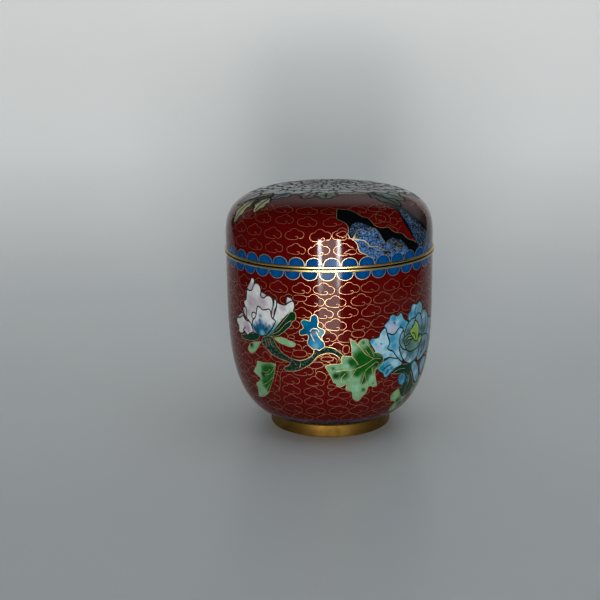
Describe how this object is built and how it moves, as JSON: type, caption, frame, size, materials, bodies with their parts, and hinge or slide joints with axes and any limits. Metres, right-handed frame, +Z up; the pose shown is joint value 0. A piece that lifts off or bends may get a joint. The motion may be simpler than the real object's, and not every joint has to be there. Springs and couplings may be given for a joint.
{
  "type": "cloisonne tea caddy",
  "caption": "Small round lidded tea caddy in red cloisonne enamel with flowers, a domed lift-off lid, gilt edges at the seam and a gilt foot ring.",
  "frame": {"origin": "centre of the foot ring's underside, on the surface that the caddy stands on", "axes": "+Z up along the axis that the caddy is turned about; -Y towards the front of the flower picture"},
  "size_m": [0.08, 0.08, 0.0925],
  "materials": {
    "enamel": "gloss oxblood red cloisonne enamel with fine gilt wires and coloured flowers",
    "counter_enamel": "gloss turquoise counter enamel inside and underneath",
    "gilt_brass": "satin gilt brass"
  },
  "bodies": {
    "root": {"vessel_body": "enamel", "mouth_rim": "gilt_brass", "foot_ring": "gilt_brass", "lid_dome": "enamel", "lid_rim": "gilt_brass"}
  },
  "joints": []
}
